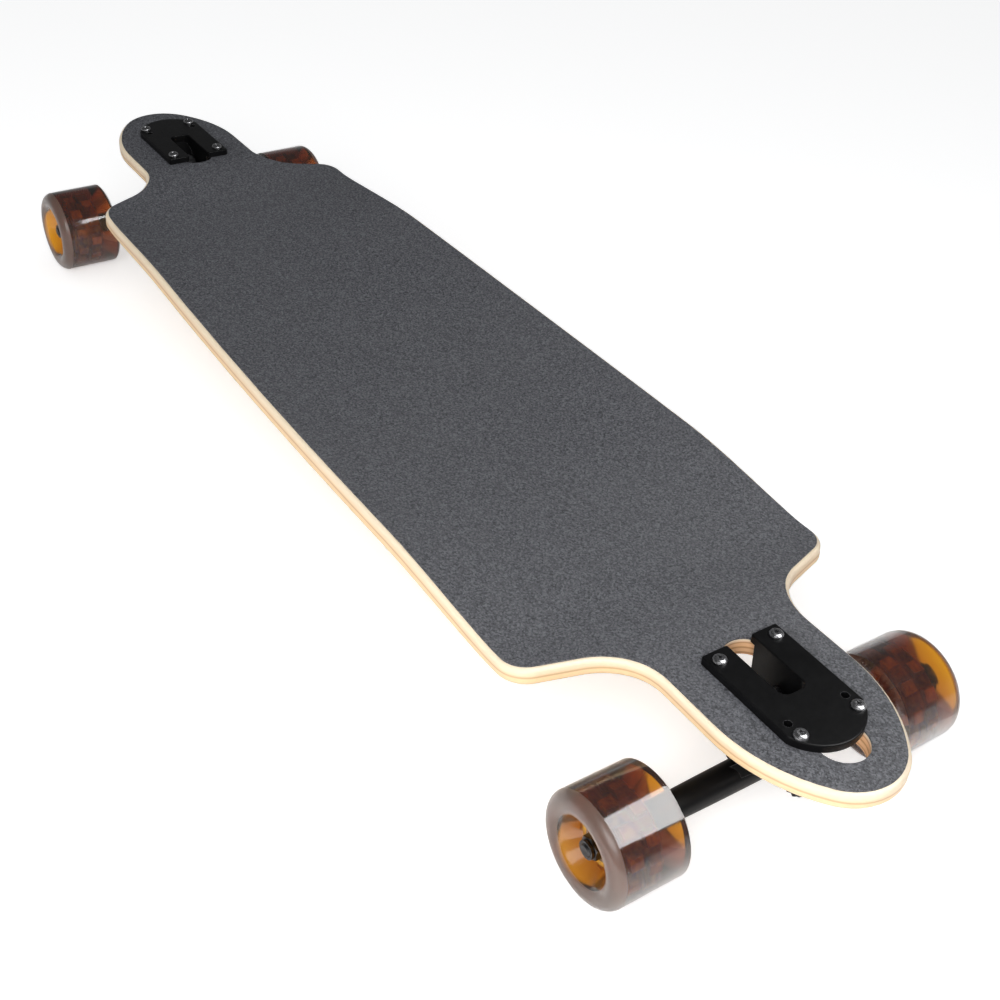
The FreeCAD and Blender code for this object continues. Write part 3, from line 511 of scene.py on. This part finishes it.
def fromTree(name, tree, values):
    carrier = bpy.data.objects.new(name + "Carrier", bpy.data.meshes.new(name + "Carrier"))
    scene.collection.objects.link(carrier)
    modifier = carrier.modifiers.new("tree", "NODES")
    modifier.node_group = tree
    for item in tree.interface.items_tree:
        if item.in_out == "INPUT" and item.name in values:
            modifier[item.identifier] = values[item.name]
    made = asMesh(carrier, name)
    carrier.modifiers.remove(modifier)
    bpy.data.objects.remove(carrier)
    return made


boltShape = oneBolt()
pattern = boltTree()
for end, frontRear in boardEnds:
    bolts = fromTree(f"{frontRear}_cross_bolts", pattern, {
        "Bolt": boltShape, "Spacing X": boltLook["patternX"], "Spacing Y": boltLook["patternY"],
        "Centre": (end * boltLook["mountX"], 0.0, boltLook["plateTop"]), "Finish": looks["bolt_steel"],
    })
    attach(bolts, "board")
    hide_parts(f"{frontRear}_mounting_bolts")
bpy.data.objects.remove(boltShape)
print("bolts set out")


# studio: pale floor, soft dome, a softbox that lights the board and two that only show in reflections
studioLook = {
    "dome": 0.42, "sky": (0.98, 0.99, 1.0, 1.0), "dark": 0.08, "haze": 0.25, "walls": (0.12, 0.5),
    "floor": (0.9, 0.9, 0.9, 1.0), "floorRough": 0.9, "floorReach": 20.0,
    "lift": 0.5, "through": 1.3, "paintedFloorGlow": 0.68, "warm": (1.0, 0.9, 0.83),  # floor as seen, through the wheels, mirrored
    "sweep": (1.0, 0.8, 0.0), "sweepEnd": 0.596, "contactShadeFade": (0.015, 0.055),
    "panel": {"place": (0.672, 0.211, 0.590), "aim": (0.413, -0.154, 0.062), "along": (0.9, 0.0, -0.44),
              "size": (0.72, 0.46), "power": 7.6},
    "fill": {"place": (1.25, -0.95, 1.15), "aim": (0.4, -0.05, 0.08), "along": (0.65, 0.76, 0.0), "size": (1.2, 0.8),
             "power": 4.6},
    "key": {"place": (0.95, -0.72, 0.88), "aim": (0.35, 0.0, 0.08), "along": (1.0, 0.6, 0.0), "size": (1.1, 0.9),
            "power": 15.6},
}


def paleFloor():
    look = studioLook
    mesh = bpy.data.meshes.new("floor")
    half = look["floorReach"]
    mesh.from_pydata([(-half, -half, 0), (half, -half, 0), (half, half, 0), (-half, half, 0)], [], [(0, 1, 2, 3)])
    floor = bpy.data.objects.new("floor", mesh)
    scene.collection.objects.link(floor)
    material, tree, shader = newMaterial("paleFloor")
    shader.inputs["Base Color"].default_value = look["floor"]
    shader.inputs["Roughness"].default_value = look["floorRough"]
    path = addNode(tree, "ShaderNodeLightPath").outputs
    place = addNode(tree, "ShaderNodeTexCoord").outputs["Object"]
    along = addNode(tree, "ShaderNodeSeparateXYZ", Vector=place).outputs["X"]
    ahead = calc(tree, "SUBTRACT", along, wheelLook["axleX"])
    paintedFloorGlow = spread(tree, ahead, *look["contactShadeFade"], 0.0, look["paintedFloorGlow"], "SMOOTHSTEP")  # painted shade: the mirrored glow fades to nothing behind a line just ahead of the front wheels' contact
    reach = addNode(tree, "ShaderNodeVectorMath", {"operation": "DOT_PRODUCT"}, i0=place, i1=look["sweep"])
    strip = calc(tree, "LESS_THAN", reach.outputs["Value"], look["sweepEnd"])  # painted reflection: the glowing band ends here, so the wheels mirror a white strip
    paintedFloorGlow = calc(tree, "MAXIMUM", calc(tree, "MULTIPLY", paintedFloorGlow, strip), look["dark"])
    lift = calc(tree, "ADD", calc(tree, "MULTIPLY", path["Is Camera Ray"], look["lift"]),
                calc(tree, "MULTIPLY", path["Is Transmission Ray"], look["through"]))
    light = calc(tree, "MAXIMUM", lift, calc(tree, "MULTIPLY", path["Is Glossy Ray"], paintedFloorGlow))
    tree.links.new(light, shader.inputs["Emission Strength"])
    tint = mixColour(tree, path["Is Glossy Ray"], (1.0, 1.0, 1.0), look["warm"])
    tree.links.new(tint, shader.inputs["Emission Color"])
    clear = addNode(tree, "ShaderNodeBsdfTransparent").outputs["BSDF"]  # the floor is open to a camera below it
    below = addNode(tree, "ShaderNodeNewGeometry").outputs["Backfacing"]
    cover = addNode(tree, "ShaderNodeMixShader", i0=below, i1=shader.outputs["BSDF"], i2=clear).outputs[0]
    tree.links.new(cover, outputOf(tree).inputs["Surface"])
    mesh.materials.append(material)


def softDome():
    look = studioLook
    world = bpy.data.worlds.new("studio")
    scene.world = world
    world.use_nodes = True
    tree = world.node_tree
    tree.nodes.clear()
    path = addNode(tree, "ShaderNodeLightPath").outputs
    seen = calc(tree, "MAXIMUM", path["Is Camera Ray"], path["Is Transmission Ray"])
    direction = addNode(tree, "ShaderNodeTexCoord").outputs["Generated"]
    up = addNode(tree, "ShaderNodeSeparateXYZ", Vector=direction).outputs["Z"]
    mirrored = spread(tree, up, *look["walls"], look["haze"], look["dark"], "SMOOTHSTEP")  # dim walls, dark above
    level = addNode(tree, "ShaderNodeMix", i0=path["Is Glossy Ray"], i2=look["dome"], i3=mirrored).outputs[0]
    dome = addNode(tree, "ShaderNodeBackground", Color=look["sky"], Strength=level)
    white = addNode(tree, "ShaderNodeBackground", Color=(1.0, 1.0, 1.0, 1.0), Strength=1.0)
    mixed = addNode(tree, "ShaderNodeMixShader", i0=seen, i1=dome.outputs[0], i2=white.outputs[0])
    addNode(tree, "ShaderNodeOutputWorld", Surface=mixed.outputs[0])


def softboxes():
    for name in ("panel", "fill", "key"):
        lamp = studioLook[name]
        light = bpy.data.lights.new(name + "Softbox", "AREA")
        light.shape = "RECTANGLE"
        light.size, light.size_y = lamp["size"]  # width, height
        light.energy = lamp["power"]
        holder = bpy.data.objects.new(name + "Softbox", light)
        scene.collection.objects.link(holder)
        back = (Vector(lamp["place"]) - Vector(lamp["aim"])).normalized()
        width = Vector(lamp["along"])
        width = (width - back * width.dot(back)).normalized()
        turn = Matrix((width, back.cross(width), back)).transposed()
        holder.matrix_world = Matrix.Translation(lamp["place"]) @ turn.to_4x4()
        holder.visible_camera = False
        holder.visible_diffuse = name == "key"  # the other two are only mirrored
        holder.visible_glossy = name != "key"
        holder.visible_transmission = name == "key"


paleFloor()
softDome()
softboxes()

# camera: fitted to the photograph, 1000 by 1000
cameraLook = {
    "lens": 49.9625, "sensor": 36.0, "clip": 0.01, "place": (0.745226, -0.447226, 0.61106),
    "right": (0.54991, 0.833057, 0.060132), "down": (0.528873, -0.291583, -0.79704),
    "ahead": (-0.646446, 0.470102, -0.600926),
}


def photoCamera():
    look = cameraLook
    lens = bpy.data.cameras.new("photoCamera")
    lens.lens = look["lens"]
    lens.sensor_width = look["sensor"]
    lens.clip_start = look["clip"]
    camera = bpy.data.objects.new("photoCamera", lens)
    scene.collection.objects.link(camera)
    turn = Matrix((look["right"], [-v for v in look["down"]], [-v for v in look["ahead"]])).transposed()
    camera.matrix_world = Matrix.Translation(look["place"]) @ turn.to_4x4()
    scene.camera = camera


photoCamera()
scene.view_settings.view_transform = "Standard"
print("studio and camera set")
